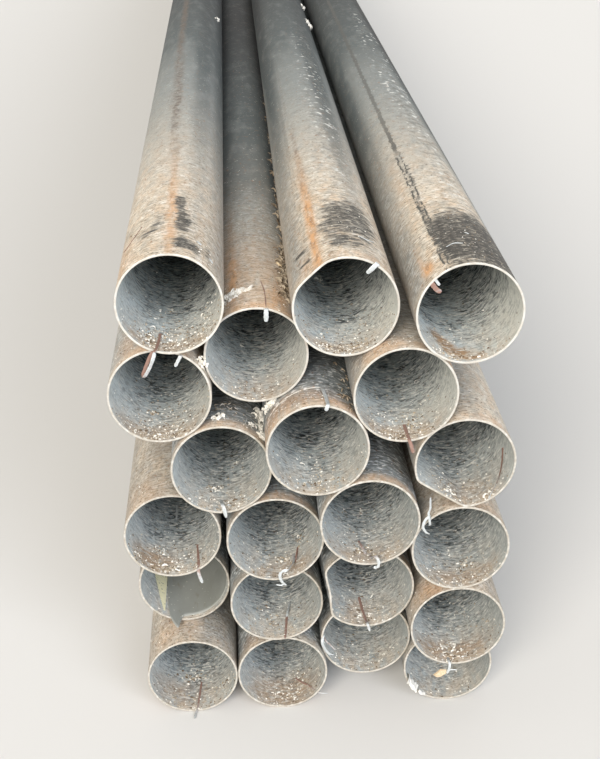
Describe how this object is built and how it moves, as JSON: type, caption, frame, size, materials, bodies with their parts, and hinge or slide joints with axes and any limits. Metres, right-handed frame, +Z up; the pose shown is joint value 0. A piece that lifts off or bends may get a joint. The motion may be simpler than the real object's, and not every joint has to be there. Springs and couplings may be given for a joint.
{
  "type": "stack of steel tubes",
  "caption": "Loose stack of long welded round steel tubes lying in uneven rows, with staggered open ends, some of them crushed.",
  "frame": {"origin": "on the floor under the middle of the stack's box", "axes": "+X across the stack, +Y along the tubes from the near, staggered ends to the far ends, +Z up"},
  "size_m": [0.4606, 6.119, 0.6487],
  "materials": {
    "tube_steel": "matte",
    "sheet_steel": "satin"
  },
  "bodies": {
    "root": {"tube_row1_a": "tube_steel", "tube_row1_b": "tube_steel", "tube_row1_c": "tube_steel", "tube_row1_d": "tube_steel", "tube_row2_a": "tube_steel", "tube_row2_b": "tube_steel", "tube_row2_c": "tube_steel", "tube_row2_d": "tube_steel", "tube_row3_a": "tube_steel", "tube_row3_b": "tube_steel", "tube_row3_c": "tube_steel", "tube_row3_d": "tube_steel", "tube_row4_a": "tube_steel", "tube_row4_b": "tube_steel", "tube_row4_c": "tube_steel", "tube_row5_a": "tube_steel", "tube_row5_b": "tube_steel", "tube_row5_c": "tube_steel", "tube_row6_a": "tube_steel", "tube_row6_b": "tube_steel", "tube_row6_c": "tube_steel", "sheet_offcut": "sheet_steel"}
  },
  "joints": []
}
